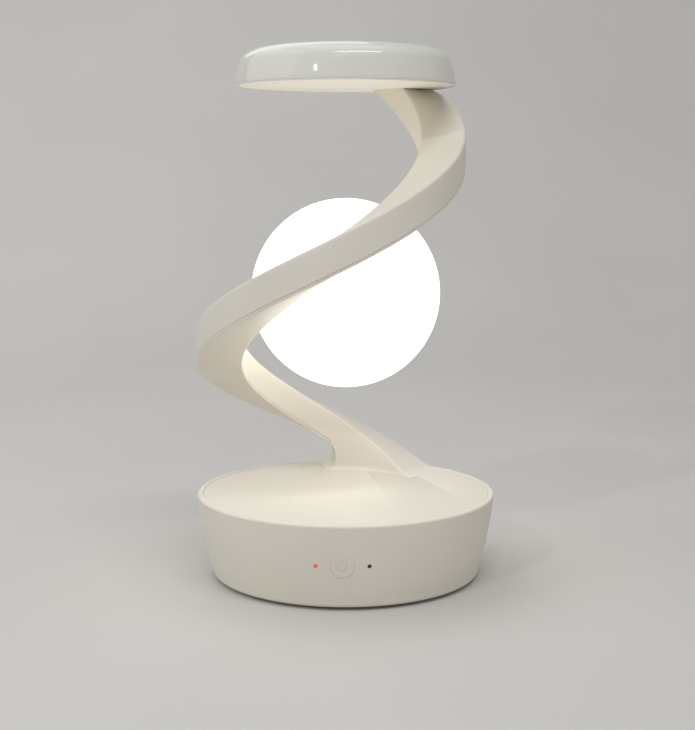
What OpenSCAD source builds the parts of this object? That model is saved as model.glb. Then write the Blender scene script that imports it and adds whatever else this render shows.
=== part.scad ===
// Wireless charging lamp: a round base with a motor-driven turntable, a ribbon arm that rises
// in a spiral, a glowing globe held inside the spiral and a round charging pad on top.
// Millimetres. +Z is up, the origin lies on the table under the middle of the base, and the
// power button faces -Y. Angles run anticlockwise from +X.

/* [Base casing] */
// Outer radius of the casing at its rim
base_rim_r = 60; // [58:0.5:64]
// Outer radius of the casing at its foot
base_foot_r = 53.6; // [52:0.2:56]
// Height of the casing
base_h = 32.7; // [32:0.1:38]
// Wall of the casing
base_wall = 2.4; // [2:0.1:3]
// How far the wall bows out of a straight taper
wall_bow = 0.75; // [0:0.05:1.2]
// Rounding of the casing's bottom edge
base_edge = 2; // [1:0.25:2.5]
// Width of the rim round the turntable
rim_w = 2.4; // [2:0.1:3]
// Rounding of the rim
rim_round = 0.8; // [0.4:0.1:1]
// Thickness of the deck inside the casing
deck_t = 2; // [1.6:0.1:2.4]
// Thickness of the bottom cover
cover_t = 2.4; // [2.2:0.1:3]
// Gap between the bottom cover and the casing
cover_gap = 0.2; // [0.1:0.05:0.4]
// Distance of the cover screws from the outside of the casing's foot
cover_screw_in = 7.1; // [6.6:0.1:7.6]
// Radius of a rubber foot
foot_r = 6; // [4:0.5:7]
// How far the feet stand below the cover
foot_proud = 1.2; // [1:0.1:2]
// Depth of the recess that a foot is stuck into
foot_recess = 0.8; // [0.4:0.1:1]
// Distance of the middle of a foot from the outside of the casing's foot
foot_in = 12.6; // [11.6:0.2:17.6]
// Thickness of the ballast plate
ballast_t = 2; // [1.5:0.1:3]
// Distance of the ballast plate's edge from the outside of the casing's foot
ballast_in = 9.6; // [7.6:0.2:13.6]

/* [Turntable] */
// Thickness of the turntable plate
plate_t = 2.4; // [2:0.1:3]
// How far the plate's top lies under the rim
plate_drop = 0.2; // [0.1:0.1:0.6]
// Gap between the plate and the rim
plate_gap = 0.2; // [0.15:0.05:0.6]
// Outer radius of the hub
hub_r = 7; // [6.5:0.1:7.5]
// Radius of the cable bore in the hub
hub_bore_r = 5; // [4.5:0.1:5.4]
// Radial clearance of a shaft that turns
run_gap = 0.05; // [0.02:0.01:0.08]
// Axial play of the turntable
play = 0.1; // [0.05:0.05:0.2]
// Wall of the bearing bush
bush_wall = 2; // [1.5:0.1:2.4]
// Length of the bush under the deck's top
bush_len = 11.4; // [10:0.2:11.8]
// Radius of the bush's flange
bush_flange_r = 11.5; // [10.5:0.1:12]
// Thickness of the bush's flange
bush_flange_t = 1; // [0.8:0.1:1.2]
// Thickness of the thrust washer
washer_t = 0.5; // [0.3:0.1:0.6]

/* [Drive] */
// Module of the gear teeth
gear_module = 1; // [0.95:0.01:1.02]
// Face width of the gear
gear_face = 2.8; // [2.4:0.1:3]
// Play between the flanks of the teeth
backlash = 0.2; // [0.1:0.02:0.3]
// Space between the plate and the gear
gear_standoff = 1.9; // [1.8:0.1:2.2]
// Space between the gear and the deck
gear_floor_gap = 1.2; // [1:0.1:1.6]
// Radius of the motor's can
motor_r = 12; // [10:0.5:12.5]
// Height of the motor's can
motor_h = 14; // [12:0.5:15]
// Radius of the motor's shaft
shaft_r = 2; // [1.5:0.1:2.2]
// Rounding of the motor's can
motor_edge = 1.2; // [0.5:0.1:2]
// Distance of the motor's screws from its shaft
motor_ear_r = 15.5; // [15.5:0.25:17]

/* [Front controls] */
// Distance of the button's centre below the deck
button_drop = 5.2; // [4.8:0.1:7]
// Radius of the button
button_r = 4.45; // [4:0.05:5]
// Gap round the button
button_gap = 0.1; // [0.1:0.05:0.4]
// How far the button travels
button_travel = 0.8; // [0.4:0.1:0.9]
// How far the button stands out of the wall
button_proud = 0.2; // [0:0.05:0.4]
// Distance of a status lens from the button's centre
lens_x = 9.95; // [9:0.05:11]
// Radius of a status lens
lens_r = 0.65; // [0.5:0.05:1.2]
// Distance of a front board screw from the middle
front_screw_x = 14.5; // [14:0.25:16]
// Thickness of every circuit board
board_t = 1.6; // [1:0.1:1.6]

/* [Arm] */
// Angle of the arm's reference station at the foot
arm_start = 61.2; // [60:0.2:63]
// How far the ribbon's mid-line lies under the plate there
arm_sink = 1.1; // [0.8:0.1:1.4]
// Height gained in one turn at the foot's pitch
arm_lead_foot = 180.5; // [178:0.5:184]
// Height gained in one turn at the pad's pitch
arm_lead_top = 155.3; // [152:0.5:158]
// How far the ribbon's outer side at the foot lies inside the casing's rim
arm_foot_in = 2.8; // [2.5:0.1:3.5]
// Control radius that swells the lower half
arm_r_swell = 69; // [67:0.5:70]
// Control radius that draws in the upper half
arm_r_waist = 48.2; // [47:0.2:50]
// Outer radius of the ribbon after one turn
arm_r_top = 42.6; // [42:0.1:43]
// Width of the ribbon at the foot
arm_w_foot = 18.9; // [18:0.1:19.5]
// Width of the ribbon after one turn
arm_w_top = 17.1; // [16.5:0.1:18]
// Thickness of the ribbon
arm_t = 13.9; // [13.5:0.1:14.3]
// Side walls of the arm's channel
arm_wall = 2; // [1.6:0.1:2.4]
// Roof of the arm's channel
arm_roof = 2.2; // [1.8:0.1:2.6]
// Rounding of the ribbon's edges
arm_edge = 1; // [0.4:0.1:1.2]
// Angle at which the underside meets the hollow end of the foot
root_angle = 100.2; // [98:0.2:103]
// Depth of the hollow in the end of the foot
root_hollow = 2.3; // [1.5:0.1:3]
// How far the end of the foot leans back to the plate
root_lean = 0.9; // [0:0.1:1.5]
// Softness of the flare where the top of the ribbon meets the plate
root_flare = 1; // [0.6:0.1:1.4]
// Thickness of the strip that closes the channel
strip_t = 1.2; // [1:0.1:1.6]
// Parting gap along the strip
strip_gap = 0.15; // [0.1:0.05:0.3]
// Height of the strip's rib, which seats between the walls of the channel
strip_rib = 0.9; // [0.5:0.1:1.2]
// Diameter of the cable in the arm
cable_d = 1.5; // [1:0.1:1.6]

/* [Globe] */
// Least space between the globe and the ribbon round it
globe_space = 0.27; // [0.2:0.01:2]
// Least space for the neck, between the globe and the ribbon that holds it
neck_space = 1.72; // [1.6:0.02:3]
// Wall of the globe
globe_wall = 2; // [1.5:0.1:2.5]
// Angle at which the arm holds the globe
globe_angle = 229.2; // [226:0.2:232]
// Radius of the globe's mouth
mouth_r = 4.6; // [4.2:0.1:4.8]
// Radius of the hollow stud through the arm
stud_r = 2; // [1.8:0.1:2.2]
// Radius of the nut on the stud
nut_r = 3.2; // [3:0.1:3.7]
// Width of the stick that carries the lights
stick_w = 7; // [6:0.25:7.5]
// Length of the stick that carries the lights
stick_len = 36; // [30:1:44]

/* [Charging pad] */
// Height of the pad's underside above the turntable
pad_rise = 161.2; // [159:0.2:163]
// Radius of the pad at its lower edge
pad_r = 43.2; // [42.6:0.1:46]
// How far the pad's side leans in
pad_lean = 1.6; // [1:0.1:2]
// Height of the pad's side up to its shoulder
pad_side_h = 7.8; // [7.6:0.1:9.6]
// Width of the pad's rounded shoulder
pad_shoulder_w = 10.4; // [10:0.1:13]
// Height of the pad's rounded shoulder
pad_shoulder_h = 6.7; // [6.5:0.1:7.5]
// Wall of the pad's cover
pad_wall = 1.8; // [1.6:0.1:2]
// Thickness of the pad's base
pad_base_t = 2; // [1.6:0.1:2.4]
// How far the pad's base lies above the cover's lower edge
pad_recess = 0.2; // [0:0.05:0.4]
// Outer radius of the charging coil
coil_r = 22; // [20:0.5:23]
// Turns of the charging coil
coil_turns = 9; // [6:1:10]
// Width of the coil's wire
wire_w = 0.9; // [0.7:0.05:0.95]
// Pitch of the coil's turns
wire_pitch = 1.2; // [1.1:0.05:1.3]
// Height of the coil's wire
wire_h = 1.2; // [1:0.1:1.4]
// Thickness of the ferrite disc
ferrite_t = 1; // [0.8:0.1:1.2]
// Inner radius of the grip ring
grip_in_r = 20; // [16:0.5:21]
// Outer radius of the grip ring
grip_out_r = 24; // [23:0.5:26]
// Depth of the grip ring's groove
grip_depth = 0.6; // [0.4:0.1:0.8]
// How far the grip ring stands up
grip_proud = 0.3; // [0.2:0.1:0.5]

/* [Fasteners] */
// Radius of a screw's shank
screw_r = 1.1; // [0.9:0.05:1.2]
// Radius of a screw's head
screw_head_r = 2.2; // [1.8:0.1:2.4]
// Height of a screw's head
screw_head_h = 1.2; // [1:0.1:1.3]
// Clearance round a screw's shank
screw_gap = 0.15; // [0.1:0.05:0.2]

/* [Hidden] */
$fn = 96;

// Levels of the base, from the table up
eps = 0.01;
far = 200;
shell_z = foot_proud;
rim_z = shell_z + base_h;
cover_top = shell_z + cover_t;
plate_top = rim_z - plate_drop;
plate_low = plate_top - plate_t;
gear_top = plate_low - gear_standoff;
gear_low = gear_top - gear_face;
deck_top = gear_low - gear_floor_gap;
deck_low = deck_top - deck_t;
button_z = deck_low - button_drop;

// Screws: how deep each kind bites, and how deep a sunk head lies
tip_gap = 0.8;
head_sink = 0.2;
cover_bite = 5;
motor_bite = 2.4;
board_bite = 3.4;
front_bite = 4;
thin_bite = 2.6;

// Bottom cover, its screws and feet
cover_ledge = 0.3;
cover_hole_r = base_foot_r - base_wall - cover_ledge;
cover_screw_r = base_foot_r - cover_screw_in;
cover_screw_angles = [45:90:315];
cover_screw_len = cover_t + cover_bite;
cover_head_z = screw_head_h + head_sink;
cover_boss_r = 3.2;
foot_circle_r = base_foot_r - foot_in;
foot_angles = [0:90:270];
foot_edge = 0.5;
ballast_r = base_foot_r - ballast_in;
ballast_gap = 0.7;

// Turntable bearing
rim_in_r = base_rim_r - rim_w;
plate_r = rim_in_r - plate_gap;
plate_edge = 0.25;
rim_bevel = 0.2;
deck_ledge = 0.5;
rim_floor_gap = 0.3;
bush_low = deck_top - bush_len;
bush_out_r = hub_r + run_gap + bush_wall;
boss_wall = 2;
boss_r = bush_out_r + boss_wall;
shoulder_r = 10.5;
washer_gap = 0.2;
shoulder_z = deck_top + bush_flange_t + washer_t + play;
clip_t = 0.8;
clip_depth = 0.8;
clip_slot = 3;
clip_out = 2;
clip_top = bush_low - play;
hub_tail = 1.3;
hub_low = clip_top - clip_t - hub_tail;
ring_gap = 0.8;
ring_body_r = 6.25;
ring_flange_r = 9;
ring_flange_t = 1.4;
ring_hole_r = ring_flange_r + 1;
ring_shaft_r = 2.4;
ring_floor = 2.5;
ring_end_gap = 0.5;
stator_top = hub_low - ring_gap;
plug_low = hub_low + 0.5;
plug_top = bush_low + 3;
seat_gap = 0.05;

// Gear drive, with the motor on the -X side
gear_teeth = 60;
pinion_teeth = 15;
motor_x = -gear_module * (gear_teeth + pinion_teeth) / 2;
gear_bore_r = 13;
gear_screw_r = 20;
gear_screw_angles = [30, 150, 270];
gear_head_z = screw_head_h + head_sink;
gear_screw_len = gear_face - gear_head_z + thin_bite;
gear_window_r = 5;
gear_window_turn = 60;
pressure_angle = 20;
gear_tip = 0.9;
pinion_tip = 0.95;
tooth_root = 1.25;
motor_ear_t = 1;
motor_ear_w = 7;
motor_floor = 2;
motor_boss_wall = 1.4;
motor_nose_r = 4.5;
motor_nose_h = 1;
nose_gap = 0.3;
motor_screw_len = motor_ear_t + motor_bite;
motor_boss_h = 1.6;
pinion_over = 0.2;
press_gap = 0.02;
shaft_end_gap = 0.4;

// Main board, and the parts on it
board_rise = 5.4;
board_z = cover_top + board_rise;
board_top = board_z + board_t;
post_r = 3;
board_edge_r = base_foot_r - 5.6;
board_back = board_edge_r - 12;
board_side = cover_screw_r * sqrt(0.5) - cover_boss_r - 2.7;
board_posts = [[-15, board_back], [20, board_back - 6], [2, board_back - 18]];
board_left = -22;
board_depth = 34.5;
board_box = [[board_left, board_edge_r - board_depth], [board_side, board_edge_r]];
board_screw_len = board_t + board_bite;
capacitor_r = 3.2;
capacitor_h = 8;
choke_size = [6, 6, 3];
driver_size = [5, 4, 1.2];
lead_plug_size = [5, 10, 4];
capacitor_at = [14, 3, 0];
choke_at = [[-12, -14, 0], [7, -14, 0]];
driver_at = [[-8, -4, 0], [4, -4, 0]];
lead_plug_at = [-20, -19, 0];
usb_w = 9;
usb_h = 3.2;
usb_wall = 0.35;
usb_gap = 0.4;
usb_floor = 2;
usb_set_in = 1.4;
tongue_w = 6.6;
tongue_t = 0.7;
tongue_back = 1;
usb_back_y = board_edge_r - 3.5;
usb_z = board_top + usb_h / 2;
usb_front_y = wall_r(usb_z) - usb_set_in;

// Front controls, placed from the inside of the wall backwards
lip_w = 1.25;
lip_r = button_r + lip_w;
lip_t = 1;
lip_gap = 0.4;
lip_y = sqrt(pow(wall_r(button_z - lip_r) - base_wall, 2) - lip_r * lip_r) - lip_gap;
stem_r = 1.6;
stem_len = 1.8;
plunger_r = 1.7;
plunger_out = 1.2;
plunger_floor = 0.3;
plunger_rest = 0.1;
switch_w = 6;
switch_depth = 3.5;
plunger_y = lip_y - lip_t - stem_len;
plunger_len = plunger_out + switch_depth - plunger_floor - plunger_rest - button_travel;
switch_y = plunger_y - plunger_out;
front_y = switch_y - switch_depth;
front_margin = 3;
front_half_w = front_screw_x + front_margin;
front_half_h = 4.6;
front_screw_len = board_t + front_bite;
front_boss_wall = 1.2;
led_r = 1.5;
led_len = 3;
led_gap = 0.2;

// Spiral arm
arm_r_foot = base_rim_r - arm_foot_in;
arm_z0 = plate_top - arm_sink;
pad_low = plate_top + pad_rise;
pad_floor = pad_low + pad_recess;
toe_h = 0.35;
end_h = 0.35;
foot_clear = 0.35;
head_clear = 0.2;
foot_reach_r = plate_r - foot_clear;
head_reach_r = pad_r - pad_wall - head_clear;
edge_lean = 1.5;
arm_toe = arm_angle(plate_top + toe_h - root_flare * root_flare / toe_h - arm_t / 2);
arm_end = arm_angle(pad_floor - end_h + arm_t / 2);
root_mid_r = arm_r(root_angle) - arm_w(root_angle) / 2;
root_h = arm_low(root_angle) - plate_top;
root_share = 0.35;
root_split = mix(arm_toe, root_angle, root_share);
seat_t = strip_t + strip_gap;
seam_angle = strip_gap / root_mid_r * 180 / PI;
plate_steps = 7;
hollow_steps = 8;
turn_steps = 72;
side_steps = 3;
seat_groove = 0.05;
rib_play = 0.25;
rib_end = 0.02;
rib_clear = 0.3;
pad_touch = arm_angle(pad_floor - arm_t / 2);
channel_end = pad_touch + 10;
channel_fade = 5;
toe_screw_angle = arm_start - 4;
root_screw_angle = root_angle - 19;
foot_screw_in = 4.5;
foot_screw_out = 2.45;
foot_screws = [
    [toe_screw_angle, arm_r(arm_start) - arm_w(arm_start) / 2],
    [root_screw_angle, arm_in_r(root_angle) + foot_screw_in],
    [root_screw_angle, arm_side_r(root_screw_angle, plate_top) - foot_screw_out]
];
foot_screw_len = plate_t + thin_bite;
top_screw_angle = channel_end + 6;
top_screw_in = 4;
top_screw_out = 3.7;
top_screws = [
    arm_in_r(top_screw_angle) + top_screw_in,
    arm_side_r(top_screw_angle, pad_floor) - top_screw_out
];
top_screw_len = pad_base_t + thin_bite;
screw_end_gap = 0.3;

// Cable route: hub, groove under the plate, channel of the arm, then up into the pad
cable_r = cable_d / 2;
cable_hole_r = 2.2;
cable_play = 0.7;
cable_lift = strip_rib + rib_clear;
groove_z = plate_low - 0.5;
groove_w = 2.4;
groove_deep = 0.8;
groove_under = 1.5;
port_angle = root_angle - 14;
port_r = root_mid_r;
inlet_angle = root_angle + channel_fade + 1;
inlet = polar(arm_r(inlet_angle) - arm_w(inlet_angle) / 2, inlet_angle, arm_mid(inlet_angle) + 1);
hole_angle = pad_touch + 2;
hole_line_r = arm_r(hole_angle) - arm_w(hole_angle) / 2;
channel_first = inlet_angle + 4;
channel_last = hole_angle - 5;
channel_steps = 50;

// Globe, its neck lies along the radius at globe_angle
arm_face_x = arm_in_r(globe_angle);
globe_z = arm_mid(globe_angle);
globe_r = min(globe_room() - globe_space, arm_face_x - neck_space);
neck_gap = 0.1;
neck_play = 0.2;
neck_lip_r = 5.2;
neck_lip_t = 0.9;
stud_boss_r = 4.2;
lip_in_x = sqrt(globe_r * globe_r - mouth_r * mouth_r) + neck_gap;
lip_out_x = lip_in_x + neck_lip_t;
barb_r = mouth_r + 0.3;
barb_len = 1.6;
barb_x = sqrt(pow(globe_r - globe_wall, 2) - mouth_r * mouth_r) - neck_play;
neck_in_x = barb_x - barb_len;
nut_gap = 0.3;
nut_x = arm_face_x + arm_wall + nut_gap;
nut_t = 2.4;
stud_end_x = nut_x + nut_t + 0.6;
lead_r = 0.6;
lead_play = 0.4;
lead_end_x = stud_end_x + 1.4;
slot_depth = 1.5;
slot_play = 0.1;
stick_t = 1.2;
chip_w = 3;
chip_t = 0.8;
chip_margin = 1;
chip_rows = 5;

// Charging pad
pad_shoulder_z = pad_low + pad_side_h;
pad_top_z = pad_shoulder_z + pad_shoulder_h;
pad_shoulder_r = pad_r - pad_lean;
pad_flat_r = pad_shoulder_r - pad_shoulder_w;
pad_lip = 0.6;
pad_fit = 0.2;
pad_base_r = pad_r - pad_wall + pad_fit;
pad_ledge = 1.4;
pad_seat_r = pad_base_r - pad_ledge;
grip_play = 0.1;
pad_base_top = pad_floor + pad_base_t;
coil_gap = 0.3;
coil_top = pad_top_z - pad_wall - coil_gap;
coil_low = coil_top - wire_h;
ferrite_low = coil_low - ferrite_t;
coil_board_low = ferrite_low - board_t;
pad_posts_r = 19;
pad_post_angles = [for (k = [0:2]) hole_angle + 60 + 120 * k];
pad_post_r = 2.5;
ferrite_r = coil_r + 1.5;
coil_board_r = coil_r + 3;
charger_size = [8, 8, 1.4];
coil_part_size = [4, 5, 2.2];
coil_part_x = 10;

// Colours
ivory = "#e8e3d6";
gloss_white = "#f0efea";
opal = "#fdfcf8";
steel = "#b9bcc0";
board_green = "#2f6b45";
black = "#2b2b2d";
copper = "#b87345";
nylon = "#d9d4c6";

// Shape functions

function mix(a, b, t) = a + (b - a) * t;
function polar(r, a, z) = [r * cos(a), r * sin(a), z];
function unit(v) = v / norm(v);
function arc(cx, cy, rx, ry, a0, a1, n) =
    [for (i = [0:n]) let(a = mix(a0, a1, i / n)) [cx + rx * cos(a), cy + ry * sin(a)]];

// Outer radius of the casing at height z
function wall_r(z) =
    let(u = (z - shell_z) / base_h)
    mix(base_foot_r, base_rim_r, u) + 4 * wall_bow * u * (1 - u);

// Ribbon: mid-line height, radii and edges at an angle, and the angle at a mid-line height
function arm_share(a) = (a - arm_start) / 360;
function arm_mid(a) =
    let(s = arm_share(a))
    arm_z0 + arm_lead_foot * s + (arm_lead_top - arm_lead_foot) / 2 * s * s;
function arm_angle(z) =
    let(q = (arm_lead_top - arm_lead_foot) / 2)
    arm_start + 360 * (sqrt(arm_lead_foot * arm_lead_foot + 4 * q * (z - arm_z0)) - arm_lead_foot)
    / (2 * q);
function arm_r(a) =
    let(s = arm_share(a), t = 1 - s)
    arm_r_foot * t * t * t + 3 * arm_r_swell * s * t * t + 3 * arm_r_waist * s * s * t
    + arm_r_top * s * s * s;
function arm_w(a) = mix(arm_w_foot, arm_w_top, arm_share(a));
function arm_in_r(a) = arm_r(a) - arm_w(a);
function arm_low(a) = arm_mid(a) - arm_t / 2;
function arm_high(a) =
    let(h = arm_mid(a) + arm_t / 2 - plate_top)
    min(plate_top + (h + sqrt(h * h + 4 * root_flare * root_flare)) / 2, pad_floor);

// Distance from the middle of the globe to the nearest point of the ribbon
function globe_room() = min([for (a = [globe_angle - 90:globe_angle + 90])
    norm([arm_in_r(a), max(0, arm_low(a) - globe_z, globe_z - arm_high(a))])]);

// Angle of the hollow end of the foot at a share of its height
function root_edge(u) =
    root_angle - (root_lean * (1 - u) + 4 * root_hollow * u * (1 - u)) / root_mid_r * 180 / PI;

// Outer side of the ribbon, drawn in at the foot to clear the rim and at the head to clear the
// lower edge of the pad
function arm_side_r(a, z) = min(
    arm_r(a), foot_reach_r + edge_lean * (z - plate_top), head_reach_r + edge_lean * (pad_low - z)
);

// The ribbon's sections are stations of five values: the angle and height of the lower edge,
// the angle of the upper edge, how much of the channel is cut and the depth of the strip's seat.
// At the foot the lower edge first runs along the plate and then up the hollow end.
function foot_stations() = [for (i = [0:plate_steps - 1]) let(t = i / plate_steps)
    [mix(arm_toe, root_edge(0), t), plate_top, mix(arm_toe, root_split, t), 0, 0]];
function hollow_stations() = [for (i = [0:hollow_steps]) let(u = i / hollow_steps)
    [root_edge(u), plate_top + root_h * u,
        mix(root_split, root_angle, (i + 1) / (hollow_steps + 1)), 0, 0]];
function turn_stations(seam) = [for (i = [0:turn_steps])
    let(
        a = mix(root_angle + seam, arm_end, i / turn_steps),
        cut = min(1, (a - root_angle) / channel_fade, (channel_end - a) / channel_fade)
    )
    [a, arm_low(a), a, max(0, cut), seat_t]];

// Angle and height at a share of a station's line, and the length of that line
function on_line(s, t) = [mix(s[0], s[2], t), mix(s[1], arm_high(s[2]), t)];
function line_len(s) = norm([(s[2] - s[0]) * PI / 180 * root_mid_r, arm_high(s[2]) - s[1]]);

// Points on the outer and the inner side of a station, moved inwards by an inset
function outer_point(s, t, inset = 0) =
    let(p = on_line(s, t)) polar(arm_side_r(p[0], p[1]) - inset, p[0], p[1]);
function inner_point(s, t, inset = 0) =
    let(p = on_line(s, t)) polar(arm_in_r(p[0]) + inset, p[0], p[1]);

// Section of the arm: up the outer side, over the top, down the inner side, round the channel
function arm_section(s) =
    let(
        len = line_len(s),
        seat = min(s[4], len / 2),
        e = min(arm_edge, len / 3, max(0.1, pad_floor - arm_high(s[2]))),
        b = e * (1 - sqrt(0.5)),
        deep = mix(min(seat_groove, 0.3 * len), max(0.3 * len, len - seat - arm_roof), s[3]),
        low = seat / len,
        roof = (seat + deep) / len,
        rows = [for (j = [0:side_steps]) mix(low, 1 - e / len, j / side_steps)]
    )
    concat(
        [for (t = rows) outer_point(s, t)],
        [outer_point(s, 1 - b / len, b), outer_point(s, 1, e)],
        [inner_point(s, 1, e), inner_point(s, 1 - b / len, b)],
        [for (j = [side_steps:-1:0]) inner_point(s, rows[j])],
        [inner_point(s, low, arm_wall), inner_point(s, roof, arm_wall)],
        [outer_point(s, roof, arm_wall), outer_point(s, low, arm_wall)]
    );

// Section of the strip under the channel: its lower edges are rounded, and its rib sinks to almost
// nothing where the channel ends
function strip_section(s) =
    let(
        len = line_len(s),
        top = min(seat_t, len / 2) * strip_t / seat_t,
        rib = top + mix(rib_end, strip_rib, s[3]),
        rib_in = arm_wall + rib_play,
        e = min(arm_edge, top) / 2,
        b = e * (1 - sqrt(0.5))
    )
    [
        inner_point(s, top / len), inner_point(s, e / len), inner_point(s, b / len, b),
        inner_point(s, 0, e), outer_point(s, 0, e), outer_point(s, b / len, b),
        outer_point(s, e / len), outer_point(s, top / len),
        outer_point(s, top / len, rib_in), outer_point(s, rib / len, rib_in),
        inner_point(s, rib / len, rib_in), inner_point(s, top / len, rib_in)
    ];

// Corner cutting, which rounds a route of points
function cut_corners(p, n) = n == 0 ? p : cut_corners(concat(
    [p[0]],
    [for (i = [0:len(p) - 2]) each [mix(p[i], p[i + 1], 0.25), mix(p[i], p[i + 1], 0.75)]],
    [p[len(p) - 1]]
), n - 1);

function cable_low_route() = [
    [0, 0, plug_top],
    [0, 0, groove_z - 4],
    [0, 0, groove_z],
    polar(4, port_angle, groove_z),
    polar(port_r - 4, port_angle, groove_z),
    polar(port_r, port_angle, groove_z),
    polar(port_r, port_angle, plate_top),
    inlet
];
function cable_z(a) = arm_low(a) + strip_t + cable_r + cable_lift;
function cable_channel() =
    [for (i = [0:channel_steps]) let(a = mix(channel_first, channel_last, i / channel_steps))
        polar(arm_r(a) - arm_w(a) / 2, a, cable_z(a))];
function cable_high_route() = [
    polar(hole_line_r, hole_angle - 1, cable_z(hole_angle - 1)),
    polar(hole_line_r, hole_angle, cable_z(hole_angle) + 4),
    polar(hole_line_r, hole_angle, pad_base_top + 2),
    polar(hole_line_r - 6, hole_angle, coil_board_low - 1),
    polar(coil_board_r - 4, hole_angle, coil_board_low - cable_r - seat_gap)
];

// Directions and carried-along normals of a route
function route_dirs(p) = [for (i = [0:len(p) - 1])
    unit(p[min(i + 1, len(p) - 1)] - p[max(i - 1, 0)])];
function carried(dirs, i, n) =
    i == len(dirs) ? [] :
    let(m = unit(n - (n * dirs[i]) * dirs[i]))
    concat([m], carried(dirs, i + 1, m));

// Skin over a list of rings that all have the same count of points
module skin(rings) {
    n = len(rings[0]);
    last = (len(rings) - 1) * n;
    sides = [for (i = [0:len(rings) - 2], j = [0:n - 1])
        let(a = i * n + j, b = i * n + (j + 1) % n)
        each [[a, b, a + n], [b, b + n, a + n]]];
    caps = [[for (j = [n - 1:-1:0]) j], [for (j = [0:n - 1]) last + j]];
    polyhedron([for (r = rings) each r], concat(sides, caps), convexity = 12);
}

// Round tube along a route
module tube(route, r, sides) {
    dirs = route_dirs(route);
    ups = carried(dirs, 0, [0, 1, 0]);
    skin([for (i = [0:len(route) - 1]) [for (k = [0:sides - 1])
        let(a = -360 * k / sides)
        route[i] + r * (cos(a) * ups[i] + sin(a) * cross(dirs[i], ups[i]))]]);
}

// Ring or disc between two heights
module disc(r, low, high, bore = 0) {
    translate([0, 0, low]) difference() {
        cylinder(r = r, h = high - low);
        if (bore > 0) translate([0, 0, -1]) cylinder(r = bore, h = high - low + 2);
    }
}

// Disc between two heights, with both edges rounded
module soft_disc(r, low, high, edge) {
    rotate_extrude() polygon(concat(
        [[0, low]],
        arc(r - edge, low + edge, edge, edge, -90, 0, 4),
        arc(r - edge, high - edge, edge, edge, 0, 90, 4),
        [[0, high]]
    ));
}

// Cylinder along Y, from y0 to y1
module rod_y(r, y0, y1) {
    translate([0, y0, 0]) rotate([-90, 0, 0]) cylinder(r = r, h = y1 - y0);
}

// Cylinder along X, from x0 to x1
module rod_x(r, x0, x1) {
    translate([x0, 0, 0]) rotate([0, 90, 0]) cylinder(r = r, h = x1 - x0);
}

// Screw that stands on the origin with its head below, and its shank up
module screw(length, r = screw_r) {
    translate([0, 0, -screw_head_h]) cylinder(r = screw_head_r, h = screw_head_h);
    translate([0, 0, -eps]) cylinder(r = r, h = length + eps);
}

// Cylinder from one point to another
module bore(p, q, r) {
    d = q - p;
    translate(p) rotate([0, acos(d[2] / norm(d)), atan2(d[1], d[0])]) cylinder(r = r, h = norm(d));
}

// Place at a radius and an angle
module at(r, a, z = 0) {
    rotate([0, 0, a]) translate([r, 0, z]) children();
}

// Frame of the globe: x runs from its middle out to the arm
module globe_frame() {
    translate([0, 0, globe_z]) rotate([0, 0, globe_angle]) children();
}

// Box that hangs under the origin
module hung_box(size) {
    translate([0, 0, -size[2] / 2]) cube(size, center = true);
}

// Flat outline with round ends
module stadium(w, h) {
    square([w - h, h], center = true);
    for (x = [-1, 1]) translate([x * (w - h) / 2, 0]) circle(d = h);
}

// Involute gear outline
function involute(t) = tan(t) * 180 / PI - t;
function tooth_half(teeth, r) =
    let(base_r = gear_module * teeth / 2 * cos(pressure_angle))
    (90 - backlash / gear_module * 90 / PI) / teeth + involute(pressure_angle)
    - involute(acos(min(1, base_r / max(r, base_r))));
function gear_points(teeth, tip) =
    let(
        pitch_r = gear_module * teeth / 2,
        base_r = pitch_r * cos(pressure_angle),
        root_r = pitch_r - tooth_root * gear_module,
        low = max(base_r, root_r),
        radii = concat([root_r],
            [for (i = [0:3]) mix(low + eps, pitch_r + tip * gear_module, i / 3)])
    )
    [for (k = [0:teeth - 1]) each concat(
        [for (i = [0:len(radii) - 1])
            let(a = 360 * k / teeth - tooth_half(teeth, radii[i]))
            radii[i] * [cos(a), sin(a)]],
        [for (i = [len(radii) - 1:-1:0])
            let(a = 360 * k / teeth + tooth_half(teeth, radii[i]))
            radii[i] * [cos(a), sin(a)]]
    )];

// Base body

// Solid of the casing's outside, grown by an allowance
module base_outline(grow = 0) {
    heights = [for (i = [0:8]) mix(shell_z + base_edge, rim_z - rim_round, i / 8)];
    rotate_extrude() polygon(concat(
        [[0, shell_z]],
        arc(wall_r(heights[0]) - base_edge + grow, heights[0], base_edge, base_edge, -90, 0, 5),
        [for (i = [1:7]) [wall_r(heights[i]) + grow, heights[i]]],
        arc(wall_r(heights[8]) - rim_round + grow, heights[8], rim_round, rim_round, 0, 90, 4),
        [[0, rim_z]]
    ));
}

module base_hollow() {
    heights = [for (i = [0:8]) mix(cover_top, deck_low, i / 8)];
    rotate_extrude() polygon(concat(
        [[0, shell_z - 1], [cover_hole_r, shell_z - 1], [cover_hole_r, cover_top]],
        [for (z = heights) [wall_r(z) - base_wall, z]],
        [[0, deck_low]]
    ));
    rotate_extrude() polygon([
        [0, deck_top], [wall_r(deck_top) - base_wall - deck_ledge, deck_top],
        [rim_in_r, plate_low - rim_floor_gap],
        [rim_in_r, rim_z - rim_bevel], [rim_in_r + rim_bevel, rim_z],
        [rim_in_r + rim_bevel, rim_z + 1], [0, rim_z + 1]
    ]);
}

module cover_bosses() {
    for (a = cover_screw_angles) at(cover_screw_r, a, cover_top)
        cylinder(r = cover_boss_r, h = deck_low - cover_top + eps);
}

module front_bosses() {
    for (x = [-1, 1]) translate([x * front_screw_x, 0, button_z]) {
        rod_y(screw_r + front_boss_wall, -wall_r(button_z) + base_wall / 2, -front_y);
    }
}

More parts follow.
